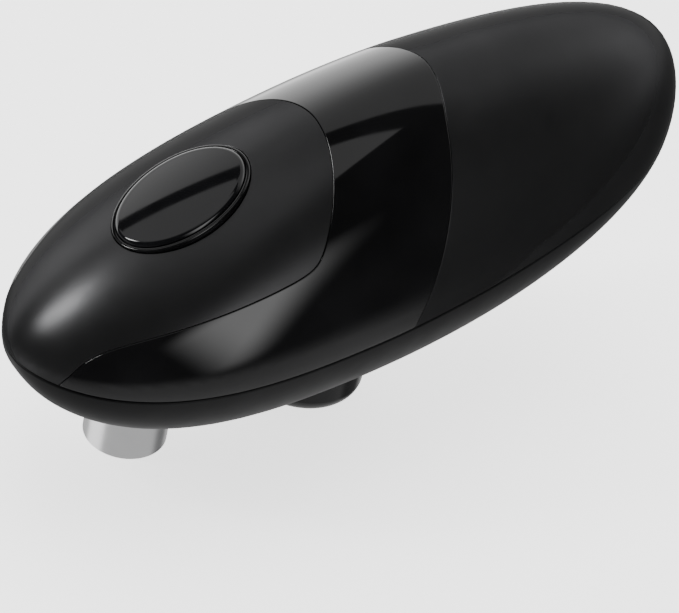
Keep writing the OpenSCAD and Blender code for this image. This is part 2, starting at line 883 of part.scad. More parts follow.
module battery_cells() {
    for (cell = CELLS) {
        color("#b9862f") translate([cell_start(cell), cell_y(cell), cell_height(cell)]) along_x() union() {
            cylinder(r = cell_r, h = cell_length);
            translate([0, 0, cell[2] == 1 ? -nub_h : cell_length]) cylinder(r = 2.7, h = nub_h);
        }
    }
}

module contact_plates() {
    for (cell = CELLS, x = [cells_x - nub_h - contact_h, cells_x + cell_length + spring_space]) {
        color("#c9cbce") translate([x, cell_y(cell) - 5, cell_height(cell) - 5]) cube([contact_h, 10, 10]);
    }
}

module contact_springs() {
    for (cell = CELLS) {
        low = cell[2] == 1 ? cells_x + cell_length + spring_space : cells_x - nub_h;
        color("#c4c6c9") translate([low, cell_y(cell), cell_height(cell)])
            rotate([0, cell[2] == 1 ? -90 : 90, 0]) coil(spring_space - 0.02, 4.2, 3, 2, 0.35);
    }
}

module shell_screws() {
    for (place = SCREWS) {
        color("#8f9195") screw(place);
    }
}

front_shell();
gloss_band();
rear_shell();
bottom_cover();
battery_door();
door_hinge_pin();
button_bezel();
start_button();
button_spring();
circuit_board();
switch_body();
switch_plunger();
gearbox_base();
gearbox_top();
gearbox_posts();
gear_pins();
motor_can();
motor_endcap();
motor_shaft();
motor_armature();
motor_pinion();
gear_1();
gear_2();
gear_3();
drive_gear();
drive_shaft();
drive_wheel();
wheel_nut();
clutch_washer();
clutch_gear();
boss_gear();
cutter_boss();
cutter_wheel();
cutter_screw();
magnet_housing();
magnet();
battery_tray();
battery_cells();
contact_plates();
contact_springs();
shell_screws();
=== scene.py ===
"""Looks of the electric can opener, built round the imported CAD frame. Shell lengths are in millimetres."""

import json
import math

import bpy
import numpy as np
from mathutils import Matrix, Vector
from mathutils.geometry import delaunay_2d_cdt


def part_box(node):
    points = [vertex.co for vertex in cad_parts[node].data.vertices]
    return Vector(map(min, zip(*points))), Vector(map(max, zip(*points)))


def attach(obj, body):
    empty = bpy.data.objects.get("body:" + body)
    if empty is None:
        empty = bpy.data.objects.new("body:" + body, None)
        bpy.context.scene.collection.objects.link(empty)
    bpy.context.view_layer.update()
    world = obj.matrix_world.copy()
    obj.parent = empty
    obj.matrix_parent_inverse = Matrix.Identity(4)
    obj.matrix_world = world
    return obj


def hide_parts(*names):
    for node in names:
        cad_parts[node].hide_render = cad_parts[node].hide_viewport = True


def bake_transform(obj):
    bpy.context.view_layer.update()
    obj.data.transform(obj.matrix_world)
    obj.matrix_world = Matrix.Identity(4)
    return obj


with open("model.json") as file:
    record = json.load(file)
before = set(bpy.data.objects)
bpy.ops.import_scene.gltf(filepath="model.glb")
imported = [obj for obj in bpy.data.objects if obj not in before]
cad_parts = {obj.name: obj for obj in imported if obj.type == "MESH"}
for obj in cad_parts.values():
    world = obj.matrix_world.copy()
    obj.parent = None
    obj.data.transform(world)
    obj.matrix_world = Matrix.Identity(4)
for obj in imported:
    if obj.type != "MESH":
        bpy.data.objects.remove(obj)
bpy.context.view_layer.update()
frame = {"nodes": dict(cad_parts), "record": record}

MM = 0.001


# ------------------------------------------------------------------ camera

CAMERA_PLACE = (-0.40787, -0.45104, 0.51673)
CAMERA_BACK = (-0.5221, -0.5739, 0.6309)
CAMERA_RIGHT = (0.8174, -0.5479, 0.178)
CAMERA_LENS = 164.5
SENSOR_WIDTH = 36
NEAREST, FURTHEST = 0.01, 50


def make_camera():
    back = Vector(CAMERA_BACK).normalized()
    up = back.cross(Vector(CAMERA_RIGHT)).normalized()
    right = up.cross(back)
    data = bpy.data.cameras.new("camera")
    data.lens = CAMERA_LENS
    data.sensor_width = SENSOR_WIDTH
    data.clip_start = NEAREST
    data.clip_end = FURTHEST
    camera = bpy.data.objects.new("camera", data)
    bpy.context.collection.objects.link(camera)
    turn = Matrix((right, up, back)).transposed().to_4x4()
    camera.matrix_world = Matrix.Translation(Vector(CAMERA_PLACE)) @ turn
    bpy.context.scene.camera = camera


make_camera()


# --------------------------------------------------- the body's outer form

HALF_LENGTH = 95.0
HALF_WIDTH = 35.0
CROWN_HEIGHT = 44.5
BELLY_DEPTH = 32.0
SPINE_FRONT = 39.0
SPINE_REAR = 64.5
SPINE_SAG = 1.4
CROWN_POWER = 1.9
BELLY_POWER = 2.7
UNDERSIDE = 17.0
UNDERSIDE_ROUND = 2.5
WALL = 2.4

# Where each profile is fullest, then how it closes: power and root to the front, then to the rear
WIDTH_PROFILE = (-15, 2.95, 0.56, 1.8, 0.46)
CROWN_PROFILE = (16, 1.64, 0.64, 2.8, 0.45)
BELLY_PROFILE = (-14, 2.4, 0.52, 2.3, 0.45)

# A point well inside the body, and the stretch that makes the body roughly a ball
MIDDLE = np.array([0.0, 0.0, 50.0])
STRETCH = np.array([HALF_LENGTH, HALF_WIDTH, 40.0])

# Least values that keep a division from failing
ALMOST_ZERO = 1e-9
LEAST_SIZE = 1e-6
LEAST_SLOPE = 1e-12

# Halvings that bring a ray or a crossing to its place
CAST_STEPS = 44
CROSSING_STEPS = 60


def profile(x, shape):
    peak, front_power, front_root, rear_power, rear_root = shape
    front = np.clip((peak - x) / (peak + HALF_LENGTH), 0, 1)
    rear = np.clip((x - peak) / (HALF_LENGTH - peak), 0, 1)
    return np.where(x < peak, (1 - front**front_power) ** front_root, (1 - rear**rear_power) ** rear_root)


def spine(x):
    u = x / HALF_LENGTH
    return SPINE_FRONT + (SPINE_REAR - SPINE_FRONT) * (u + 1) / 2 - SPINE_SAG * (1 + u) * (1 - u * u)


def crown_z(x):
    return spine(x) + CROWN_HEIGHT * profile(x, CROWN_PROFILE)


def half_height(x, up):
    """How far the body reaches above or below its spine."""
    return np.where(up > 0, CROWN_HEIGHT * profile(x, CROWN_PROFILE), BELLY_DEPTH * profile(x, BELLY_PROFILE))


def outside(points):
    """About how far outside the body each point is, in millimetres. Negative inside."""
    x, z = points[:, 0], points[:, 2]
    across = np.abs(points[:, 1]) + ALMOST_ZERO
    up = z - spine(x)
    width = np.maximum(HALF_WIDTH * profile(x, WIDTH_PROFILE), LEAST_SIZE)
    height = np.maximum(half_height(x, up), LEAST_SIZE)
    power = np.where(up > 0, CROWN_POWER, BELLY_POWER)
    gauge = ((across / width) ** power + (np.abs(up) / height) ** power) ** (1 / power)
    radius = np.hypot(across, up)
    body = np.maximum(radius - radius / gauge, np.abs(x) - HALF_LENGTH)
    below = UNDERSIDE - z
    rounded = np.hypot(np.maximum(body + UNDERSIDE_ROUND, 0), np.maximum(below + UNDERSIDE_ROUND, 0))
    return np.minimum(np.maximum(body, below), -UNDERSIDE_ROUND) + rounded


def cast(origins, directions, reach=160.0):
    """Where rays from inside the body leave it."""
    near = np.zeros(len(directions))
    far = np.full(len(directions), reach)
    for _ in range(CAST_STEPS):
        middle = (near + far) / 2
        out = outside(origins + directions * middle[:, None]) > 0
        far = np.where(out, middle, far)
        near = np.where(out, near, middle)
    return origins + directions * near[:, None]


def onto_surface(points):
    """Points moved to the outer surface, along rays from the body's middle."""
    directions = points - MIDDLE
    directions = directions / np.linalg.norm(directions, axis=1)[:, None]
    return cast(np.broadcast_to(MIDDLE, points.shape), directions)


def normals_at(points, step=0.08):
    """The way out of the body at each point."""
    slope = np.stack(
        [outside(points + step * axis) - outside(points - step * axis) for axis in np.eye(3)], axis=1
    )
    return slope / np.maximum(np.linalg.norm(slope, axis=1), LEAST_SLOPE)[:, None]


def surface_y(x, z):
    """Half width of the body at a point of its side view, above the rounded underside."""
    up = z - spine(x)
    height = half_height(x, up)
    power = np.where(up > 0, CROWN_POWER, BELLY_POWER)
    room = np.clip(1 - (np.abs(up) / np.maximum(height, LEAST_SIZE)) ** power, 0, 1)
    return HALF_WIDTH * profile(x, WIDTH_PROFILE) * room ** (1 / power)


# ------------------------------------------------------------ parting lines

SEAM_MIDDLE, SEAM_RISE, SEAM_BOW, SEAM_TWIST = 44.4, 11.2, 4.0, 3.8
BAND_REAR_PLACE = (-2.6, 47.0)
BAND_REAR_LEAN = 0.25
BAND_REAR_BOW = 0.025
BAND_BOW_Z = 88.0
BAND_RUN_PLACE = (-62.0, 58.6)
BAND_RUN_SLOPE = 0.28
BAND_CLIMB_PLACE = (-26.0, 77.5)
BAND_CLIMB_SLOPE = 1.8
BAND_BEND = 2.0
BAND_NOSE_X = -93.8
BAND_NOSE_DROP = 56.0
LOOP_STEP = 1.4
LINE_SAMPLES = 4000


def seam_z(x):
    u = np.clip(x / HALF_LENGTH, -1, 1)
    return SEAM_MIDDLE + SEAM_RISE * u + SEAM_BOW * u * u + SEAM_TWIST * u * (1 - u * u)


def band_rear_x(z):
    lean = BAND_REAR_PLACE[0] + BAND_REAR_LEAN * (z - BAND_REAR_PLACE[1])
    return lean + BAND_REAR_BOW * np.maximum(0, z - BAND_BOW_Z) ** 2


def band_front_z(x):
    run = BAND_RUN_PLACE[1] + BAND_RUN_SLOPE * (x - BAND_RUN_PLACE[0])
    climb = BAND_CLIMB_PLACE[1] + BAND_CLIMB_SLOPE * (x - BAND_CLIMB_PLACE[0])
    bent = (run + climb) / 2 + np.hypot((run - climb) / 2, BAND_BEND)
    return bent - BAND_NOSE_DROP / (x - BAND_NOSE_X)


def crossing(f, low, high):
    """The place between low and high where f changes sign."""
    start = f(low) > 0
    for _ in range(CROSSING_STEPS):
        middle = (low + high) / 2
        if (f(middle) > 0) == start:
            low = middle
        else:
            high = middle
    return (low + high) / 2


def spaced(points, step=LOOP_STEP):
    """The same line with evenly spaced points."""
    lengths = np.concatenate([[0], np.cumsum(np.linalg.norm(np.diff(points, axis=0), axis=1))])
    count = max(3, int(round(lengths[-1] / step)))
    at = np.linspace(0, lengths[-1], count + 1)
    return np.stack([np.interp(at, lengths, points[:, k]) for k in range(3)], axis=1)


def side_line(x, z):
    """A line of the side view laid on the near side of the body."""
    return spaced(np.stack([x, -surface_y(x, z), z], axis=1))


def mirrored(line):
    """The line on the other side of the body, run the other way."""
    return (line * [1, -1, 1])[::-1]


def joined(*lines):
    """A closed loop from lines that each start where the one before ends."""
    return np.concatenate([line[:-1] for line in lines])


def part_of_seam(start, end):
    """The near side's seam from one place along the body to another."""
    turn = np.linspace(math.asin(start / HALF_LENGTH), math.asin(end / HALF_LENGTH), LINE_SAMPLES)
    x = HALF_LENGTH * np.sin(turn)
    return side_line(x, seam_z(x))


def below_spine_gap(x):
    """Positive where the seam still runs on the body at x."""
    return 1 - abs(seam_z(x) - spine(x)) / (BELLY_DEPTH * profile(x, BELLY_PROFILE) + ALMOST_ZERO)


seam_nose = crossing(below_spine_gap, -90.0, -94.9999)
seam_tail = crossing(below_spine_gap, 90.0, 94.9999)
rear_low_z = crossing(lambda z: z - seam_z(band_rear_x(z)), 30.0, 60.0)
rear_low_x = band_rear_x(rear_low_z)
rear_top_z = crossing(lambda z: z - crown_z(band_rear_x(z)), 80.0, 110.0)
front_low_x = crossing(lambda x: band_front_z(x) - seam_z(x), -93.5, -85.0)
front_top_x = crossing(lambda x: band_front_z(x) - crown_z(x), -40.0, -14.0)

# Lines of the near side, from front to rear or from the seam up to the crown
towards_top = 1 - np.linspace(1, 0, LINE_SAMPLES) ** 2
SEAM_NOSE = part_of_seam(seam_nose, front_low_x)
SEAM_BAND = part_of_seam(front_low_x, rear_low_x)
SEAM_REAR = part_of_seam(rear_low_x, seam_tail)
arch_z = rear_low_z + (rear_top_z - rear_low_z) * towards_top
REAR_ARCH = side_line(band_rear_x(arch_z), arch_z)
arch_x = front_low_x + (front_top_x - front_low_x) * towards_top
FRONT_ARCH = side_line(arch_x, band_front_z(arch_x))

# Loops that keep their shell on the left, seen from outside
OTHER_SIDE = np.array([1, -1, 1])
SEAM_LOOP = joined(SEAM_NOSE, SEAM_BAND, SEAM_REAR,
                   mirrored(SEAM_REAR), mirrored(SEAM_BAND), mirrored(SEAM_NOSE))
FRONT_LOOP = joined(FRONT_ARCH, mirrored(FRONT_ARCH), mirrored(SEAM_NOSE), SEAM_NOSE)
BAND_LOOP = joined(SEAM_BAND, REAR_ARCH, mirrored(REAR_ARCH), mirrored(SEAM_BAND),
                   FRONT_ARCH * OTHER_SIDE, FRONT_ARCH[::-1])
REAR_LOOP = joined(SEAM_REAR, mirrored(SEAM_REAR), REAR_ARCH * OTHER_SIDE, REAR_ARCH[::-1])
COVER_LOOP = SEAM_LOOP[::-1]


# ----------------------------------------------------------- shell builder

EDGE_STEPS = 4
SKIN_SPACING = 0.045
CLEAR_OF_RINGS = 0.6
WHOLE_FACES = 4
WELD = 1e-7


def make_object(name, points, faces, normals=None):
    mesh = bpy.data.meshes.new(name)
    mesh.from_pydata([tuple(p) for p in np.asarray(points) * MM], [], faces)
    mesh.validate()
    mesh.shade_smooth()
    if normals is not None:
        mesh.normals_split_custom_set_from_vertices([tuple(n) for n in normals])
    made = bpy.data.objects.new(name, mesh)
    bpy.context.collection.objects.link(made)
    return made


def inward_at(loop, normals):
    """At each point of a loop, the way into the shell along its surface, longer at corners."""
    ahead = np.roll(loop, -1, axis=0) - loop
    ahead /= np.linalg.norm(ahead, axis=1)[:, None]
    behind = np.roll(ahead, 1, axis=0)
    left_a, left_b = np.cross(normals, ahead), np.cross(normals, behind)
    return (left_a + left_b) / (1 + np.sum(left_a * left_b, axis=1))[:, None]


def unrolled(points, pole):
    """The surface laid flat round a pole, so that it can be divided into triangles."""
    direction = (points - MIDDLE) / STRETCH
    direction /= np.linalg.norm(direction, axis=1)[:, None]
    pole = np.array(pole) / np.linalg.norm(pole)
    first = np.cross(pole, [0, 1, 0])
    first /= np.linalg.norm(first)
    second = np.cross(pole, first)
    angle = np.arccos(np.clip(direction @ pole, -1, 1))
    flat = np.stack([direction @ first, direction @ second], axis=1)
    return flat * (angle / np.maximum(np.sin(angle), ALMOST_ZERO))[:, None], (pole, first, second)


def rolled_back(flat, axes):
    pole, first, second = axes
    angle = np.linalg.norm(flat, axis=1)
    share = np.sin(angle) / np.maximum(angle, ALMOST_ZERO)
    aside = (flat[:, :1] * first + flat[:, 1:] * second) * share[:, None]
    direction = (pole * np.cos(angle)[:, None] + aside) * STRETCH
    direction /= np.linalg.norm(direction, axis=1)[:, None]
    return cast(np.broadcast_to(MIDDLE, direction.shape), direction)


def inside_loops(flat, loops):
    """Even-odd test of points against closed loops, and how near the closest loop point is."""
    odd = np.zeros(len(flat), bool)
    nearest = np.full(len(flat), np.inf)
    for loop in loops:
        for (ax, ay), (bx, by) in zip(loop, np.roll(loop, -1, axis=0)):
            if ay != by:
                spans = (ay > flat[:, 1]) != (by > flat[:, 1])
                odd ^= spans & (flat[:, 0] < (bx - ax) * (flat[:, 1] - ay) / (by - ay) + ax)
            nearest = np.minimum(nearest, (flat[:, 0] - ax) ** 2 + (flat[:, 1] - ay) ** 2)
    return odd, np.sqrt(nearest)


def triangulated(rings, pole):
    """Triangles over the surface within rings, and none over the openings.

    Returns the points, the triangles and where each ring's points went."""
    flat_rings = []
    for ring in rings:
        flat, axes = unrolled(ring, pole)
        flat_rings.append(flat)
    everything = np.concatenate(flat_rings)
    low, high = everything.min(axis=0), everything.max(axis=0)
    rows = np.arange(low[1], high[1], SKIN_SPACING * math.sqrt(3) / 2)
    grid = [
        (x + (k % 2) * SKIN_SPACING / 2, y)
        for k, y in enumerate(rows)
        for x in np.arange(low[0], high[0], SKIN_SPACING)
    ]
    grid = np.array(grid)
    odd, nearest = inside_loops(grid, flat_rings)
    grid = grid[odd & (nearest > SKIN_SPACING * CLEAR_OF_RINGS)]
    edges = []
    start = 0
    for flat in flat_rings:
        count = len(flat)
        edges += [(start + i, start + (i + 1) % count) for i in range(count)]
        start += count
    source = [Vector(p) for p in np.concatenate([everything, grid])]
    flat_out, _, faces, origin, _, _ = delaunay_2d_cdt(source, edges, [], WHOLE_FACES, WELD)
    flat_out = np.array([tuple(p) for p in flat_out])
    points = rolled_back(flat_out, axes)
    exact = np.concatenate(rings)
    place = {}
    for new, olds in enumerate(origin):
        for old in olds:
            if old < len(exact):
                points[new] = exact[old]
                place[old] = new
    ring_places = []
    start = 0
    for flat in flat_rings:
        ring_places.append([place[start + i] for i in range(len(flat))])
        start += len(flat)
    triangles = [tuple(f) for f in faces if len(f) >= 3]
    # The division fills the openings too, so triangles whose middle lies in one are left out
    middles = np.array([flat_out[list(t)].mean(axis=0) for t in triangles])
    kept, _ = inside_loops(middles, flat_rings)
    triangles = [t for t, keep in zip(triangles, kept) if keep]
    a, b, c = (points[[t[k] for t in triangles]] for k in range(3))
    turned = np.sum(np.cross(b - a, c - a) * ((a + b + c) / 3 - MIDDLE), axis=1) < 0
    triangles = [t[::-1] if flip else t for t, flip in zip(triangles, turned)]
    return points, triangles, ring_places


def make_shell(name, loops, pole, gap, edge):
    """A closed shell of even thickness within loops, its outer edges rounded by edge.

    The first loop is the outline, the others are openings. A gap is left all round."""
    loops = [onto_surface(loop) for loop in loops]
    ways = []
    rings = []
    for loop in loops:
        normals = normals_at(loop)
        inward = inward_at(loop, normals)
        ways.append((normals, inward))
        rings.append(onto_surface(loop + inward * (gap + edge)))
    skin, triangles, places = triangulated(rings, pole)
    skin_normals = normals_at(skin)
    points = [skin, skin - skin_normals * WALL]
    directions = [skin_normals, -skin_normals]
    inner = len(skin)
    faces = triangles + [tuple(i + inner for i in t[::-1]) for t in triangles]
    total = 2 * len(skin)
    for loop, (normals, inward), ring in zip(loops, ways, places):
        count = len(loop)
        out = -inward / np.linalg.norm(inward, axis=1)[:, None]
        last = ring
        for k in range(1, EDGE_STEPS + 2):
            if k <= EDGE_STEPS:
                turn = math.pi / 2 * k / EDGE_STEPS
                reach, depth = gap + edge * (1 - math.sin(turn)), edge * (1 - math.cos(turn))
            else:
                turn, reach, depth = math.pi / 2, gap, WALL
            points.append(loop + inward * reach - normals * depth)
            directions.append(normals * math.cos(turn) + out * math.sin(turn))
            now = list(range(total, total + count))
            total += count
            faces += [(last[i], now[i], now[(i + 1) % count], last[(i + 1) % count]) for i in range(count)]
            last = now
        faces += [(last[i], ring[i] + inner, ring[(i + 1) % count] + inner, last[(i + 1) % count])
                  for i in range(count)]
    return make_object(name, np.concatenate(points), faces, np.concatenate(directions))


# ------------------------------------------------------------------ shells

BUTTON_X = -54.5
TILT_REACH = 2.0
BEZEL_A, BEZEL_B = 18.2, 12.4
BEZEL_GAP = 0.1
SHELL_GAP, SHELL_EDGE = 0.05, 0.22
COVER_GAP, COVER_EDGE = 0.3, 0.55
BEZEL_HOLE_SIDES = 84
BEZEL_HOLE_START = -9.0
BEZEL_HOLE_REACH = 20.0
HOLE_STEP = 1.2
LEAST_HOLE_SIDES = 24

# The ways from the body's middle that each shell is laid flat round
FRONT_POLE, BAND_POLE, REAR_POLE = (-1.0, 0, 0.7), (-0.2, 0, 1.0), (1.0, 0, 0.8)
COVER_POLE, DOOR_POLE = (0.05, 0, -1.0), (0.4, 0, -1.0)

button_z = float(crown_z(np.float64(BUTTON_X)))
button_rise = crown_z(BUTTON_X + TILT_REACH) - crown_z(BUTTON_X - TILT_REACH)
button_tilt = math.atan(button_rise / (2 * TILT_REACH))
BUTTON_FRAME = (
    Matrix.Translation(Vector((BUTTON_X, 0, button_z))) @ Matrix.Rotation(-button_tilt, 4, "Y")
)


def at_button(points):
    """Points given in the button's own frame, its axis along z, put in the body's frame."""
    turn = np.array(BUTTON_FRAME.to_3x3())
    return np.asarray(points) @ turn.T + np.array(BUTTON_FRAME.translation)


def oval_loop(a, b, count, clockwise=False):
    turn = np.linspace(0, 2 * math.pi, count, endpoint=False)
    if clockwise:
        turn = -turn
    return np.stack([a * np.cos(turn), b * np.sin(turn), np.zeros(count)], axis=1)


def button_hole():
    """Where the bezel's outline meets the outer surface."""
    outline = oval_loop(BEZEL_A + BEZEL_GAP, BEZEL_B + BEZEL_GAP, BEZEL_HOLE_SIDES, clockwise=True)
    low = at_button(outline + [0, 0, BEZEL_HOLE_START])
    axis = np.array(BUTTON_FRAME.to_3x3()) @ [0, 0, 1]
    return cast(low, np.broadcast_to(axis, low.shape), reach=BEZEL_HOLE_REACH)


def down_from(plan, height=44.0):
    """Points of a plan view dropped onto the underside from inside the body."""
    plan = np.asarray(plan, float)
    start = np.column_stack([plan, np.full(len(plan), height)])
    return cast(start, np.broadcast_to(np.array([0.0, 0.0, -1.0]), start.shape), reach=60.0)


def round_hole(x, y, radius):
    """A round hole in the underside."""
    count = max(LEAST_HOLE_SIDES, int(2 * math.pi * radius / HOLE_STEP))
    turn = np.linspace(0, 2 * math.pi, count, endpoint=False)
    return down_from(np.stack([x + radius * np.cos(turn), y + radius * np.sin(turn)], axis=1))


def cornered_hole(corners, step=HOLE_STEP):
    """A hole in the underside with straight sides, between corners given in turn."""
    places = []
    for (ax, ay), (bx, by) in zip(corners, corners[1:] + corners[:1]):
        count = max(2, int(math.hypot(bx - ax, by - ay) / step))
        places += [(ax + (bx - ax) * k / count, ay + (by - ay) * k / count) for k in range(count)]
    return down_from(places)


def middle_of(node):
    """The middle of a CAD node in plan, in millimetres."""
    low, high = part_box(node)
    return (low.x + high.x) / 2 / MM, (low.y + high.y) / 2 / MM


DOOR_FRONT, DOOR_REAR, DOOR_HALF = 22.0, 65.5, 15.0
HINGE_X, HINGE_HALF, HINGE_REAR = 68.0, 10.3, 70.5
HINGE_Z, HINGE_R, HINGE_EDGE = 39.1, 2.2, 0.3
DOOR_GAP = 0.3
DOOR_SHORTENING = 4

# The cover's opening is this much larger than the door's tail, behind it and beside it, so
# that the barrel turns freely
HINGE_ROOM = (1.6, 0.8)
BOSS_HOLE_R, SHAFT_HOLE_R, HOUSING_HOLE_R = 10.9, 4.0, 16.2
SCREW_PLACES = [(-78.0, 0.0), (4.0, 26.0), (4.0, -26.0), (83.0, 0.0)]
SCREW_HOLE_R = 3.2


def door_corners(gap, room=(0.0, 0.0)):
    """The door's outline in plan: a wide leaf, and a narrower tail that reaches its hinge.

    Room is what the outline has to spare behind the tail and beside it."""
    rear = DOOR_REAR - DOOR_SHORTENING * gap  # the leaf stops several gaps short of its tail
    back, half = HINGE_REAR + room[0], HINGE_HALF + room[1]
    return [(DOOR_FRONT + gap, -DOOR_HALF + gap), (rear, -DOOR_HALF + gap), (rear, -half + gap),
            (back, -half + gap), (back, half - gap), (rear, half - gap),
            (rear, DOOR_HALF - gap), (DOOR_FRONT + gap, DOOR_HALF - gap)]


def cover_holes():
    """The cover's openings: for the boss, shaft, magnet housing, screws and door."""
    boss, shaft, housing = middle_of("cutter_boss"), middle_of("drive_shaft"), middle_of("magnet_housing")
    holes = [round_hole(*boss, BOSS_HOLE_R), round_hole(*shaft, SHAFT_HOLE_R),
             round_hole(*housing, HOUSING_HOLE_R)]
    holes += [round_hole(*place, SCREW_HOLE_R) for place in SCREW_PLACES]
    return holes + [cornered_hole(door_corners(0.0, HINGE_ROOM))]


front = make_shell("shell_front", [FRONT_LOOP, button_hole()], FRONT_POLE, SHELL_GAP, SHELL_EDGE)
band = make_shell("shell_band", [BAND_LOOP], BAND_POLE, SHELL_GAP, SHELL_EDGE)
rear = make_shell("shell_rear", [REAR_LOOP], REAR_POLE, SHELL_GAP, SHELL_EDGE)
cover = make_shell("bottom_tub", [COVER_LOOP] + cover_holes(), COVER_POLE, COVER_GAP, COVER_EDGE)
for piece, node in ((front, "front_shell"), (band, "gloss_band"),
                    (rear, "rear_shell"), (cover, "bottom_cover")):
    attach(piece, "housing")
    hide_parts(node)


# ------------------------------------------------------------- the door

def tube(name, start, end, radius, edge, sides=48):
    """A closed cylinder between two points, its rims rounded by edge."""
    start, end = Vector(start), Vector(end)
    axis = (end - start).normalized()
    length = (end - start).length
    turn = axis.to_track_quat("Z", "Y").to_matrix()
    straight = radius - edge
    outline = [(0, 0)]
    outline += [(straight + edge * math.sin(a), edge - edge * math.cos(a)) for a in quarter_turns()]
    outline += [(straight + edge * math.cos(a), length - edge + edge * math.sin(a)) for a in quarter_turns()]
    outline += [(0, length)]
    points, faces = spun(outline, sides)
    placed = [start + turn @ Vector(p) for p in points]
    return make_object(name, np.array([tuple(p) for p in placed]), faces)


def quarter_turns(steps=5):
    return [math.pi / 2 * k / steps for k in range(steps + 1)]


def spun(outline, sides):
    """An outline of radius and height, from the axis back to the axis, turned about z."""
    points = [(0, 0, outline[0][1])]
    inner = outline[1:-1]
    for r, z in inner:
        points += [(r * math.cos(2 * math.pi * k / sides), r * math.sin(2 * math.pi * k / sides), z)
                   for k in range(sides)]
    points.append((0, 0, outline[-1][1]))
    last = len(points) - 1
    faces = [(0, 1 + (k + 1) % sides, 1 + k) for k in range(sides)]
    for row in range(len(inner) - 1):
        a = 1 + row * sides
        b = a + sides
        faces += [(a + k, a + (k + 1) % sides, b + (k + 1) % sides, b + k) for k in range(sides)]
    top = 1 + (len(inner) - 1) * sides
    faces += [(top + k, top + (k + 1) % sides, last) for k in range(sides)]
    return points, faces


def merge(target, *others):
    """Joins meshes into one object."""
    bpy.ops.object.select_all(action="DESELECT")
    for piece in (target, *others):
        piece.select_set(True)
    bpy.context.view_layer.objects.active = target
    bpy.ops.object.join()
    return target


def make_door():
    """The leaf with its hinge barrel."""
    outline = cornered_hole(door_corners(DOOR_GAP))[::-1]
    leaf = make_shell("battery_hatch", [outline], DOOR_POLE, 0.0, COVER_EDGE)
    half = HINGE_HALF - DOOR_GAP
    barrel = tube("hatch_barrel", (HINGE_X, -half, HINGE_Z), (HINGE_X, half, HINGE_Z), HINGE_R, HINGE_EDGE)
    return merge(leaf, barrel)


door = make_door()
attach(door, "door")
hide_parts("battery_door")


# ---------------------------------------------------- start button and bezel

BEZEL_RIM = 0.9
BEZEL_LIFT = -0.6
BEZEL_ROUND = 0.35
BEZEL_LIP = 0.1
BEZEL_FOOT = -7.0
BEZEL_STRAIGHT = -4.0
BUTTON_GAP = 0.12
BUTTON_SHOULDER = 1.2
BUTTON_PROUD = 0.5
BUTTON_SWELL = 0.75
BUTTON_DEPTH = 5.0
OVAL_SIDES = 144
FACE_RINGS = 24
SHOULDER_STEPS = 10


def oval_ring(inset, height):
    """An oval line at a distance inside the bezel's outline, in the button's frame."""
    turn = np.linspace(0, 2 * math.pi, OVAL_SIDES, endpoint=False)
    edge = np.stack([BEZEL_A * np.cos(turn), BEZEL_B * np.sin(turn)], axis=1)
    out = np.stack([np.cos(turn) / BEZEL_A, np.sin(turn) / BEZEL_B], axis=1)
    out /= np.linalg.norm(out, axis=1)[:, None]
    plan = edge - out * inset
    return np.column_stack([plan, np.full(OVAL_SIDES, height)])


def ring_faces(rows, closed):
    faces = []
    for row in range(rows if closed else rows - 1):
        a, b = row * OVAL_SIDES, (row + 1) % rows * OVAL_SIDES
        for k in range(OVAL_SIDES):
            n = (k + 1) % OVAL_SIDES
            faces.append((a + k, a + n, b + n, b + k))
    return faces


def make_bezel():
    """A ring with a broad rounded shoulder outside and a fine lip round the button."""
    outline = [(0.0, BEZEL_FOOT)]
    shoulder = BEZEL_LIFT - BEZEL_ROUND
    outline += [(BEZEL_ROUND - BEZEL_ROUND * math.cos(a), shoulder + BEZEL_ROUND * math.sin(a))
                for a in quarter_turns(SHOULDER_STEPS)]
    inner = BEZEL_RIM - BEZEL_LIP
    outline += [(inner + BEZEL_LIP * math.sin(a), BEZEL_LIFT - BEZEL_LIP + BEZEL_LIP * math.cos(a))
                for a in quarter_turns()]
    outline += [(BEZEL_RIM, BEZEL_STRAIGHT), (BEZEL_RIM, BEZEL_FOOT)]
    rows = [oval_ring(inset, height) for inset, height in outline]
    return make_object("bezel_ring", at_button(np.concatenate(rows)), ring_faces(len(rows), closed=True))


def make_button():
    """A cap with straight sides, a round shoulder and a gently swelling face."""
    side = BEZEL_RIM + BUTTON_GAP
    edge = side + BUTTON_SHOULDER
    rows = [oval_ring(side, -BUTTON_DEPTH)]
    rows += [oval_ring(edge - BUTTON_SHOULDER * math.cos(a),
                       BUTTON_PROUD - BUTTON_SHOULDER * (1 - math.sin(a)))
             for a in quarter_turns(SHOULDER_STEPS)]
    face = oval_ring(edge, BUTTON_PROUD)
    for k in range(1, FACE_RINGS):
        share = 1 - k / FACE_RINGS
        rows.append(face * [share, share, 1] + [0, 0, BUTTON_SWELL * (1 - share * share)])
    points = np.concatenate(rows + [[[0, 0, BUTTON_PROUD + BUTTON_SWELL]], [[0, 0, -BUTTON_DEPTH]]])
    faces = ring_faces(len(rows), closed=False)
    top, bottom = len(points) - 2, len(points) - 1
    last = (len(rows) - 1) * OVAL_SIDES
    for k in range(OVAL_SIDES):
        n = (k + 1) % OVAL_SIDES
        faces.append((last + k, last + n, top))
        faces.append((k, bottom, n))
    return make_object("button_cap", at_button(points), faces)


bezel = make_bezel()
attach(bezel, "housing")
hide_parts("button_bezel")
button = make_button()
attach(button, "button")
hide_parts("start_button")


# ------------------------------------------------------- the button's spring

SPRING_FOOT, SPRING_TOP = -12.35, -5.05
SPRING_R, SPRING_WIRE = 6.5, 0.3
SPRING_TURNS = 4
SPRING_STEPS = 40
WIRE_SIDES = 8


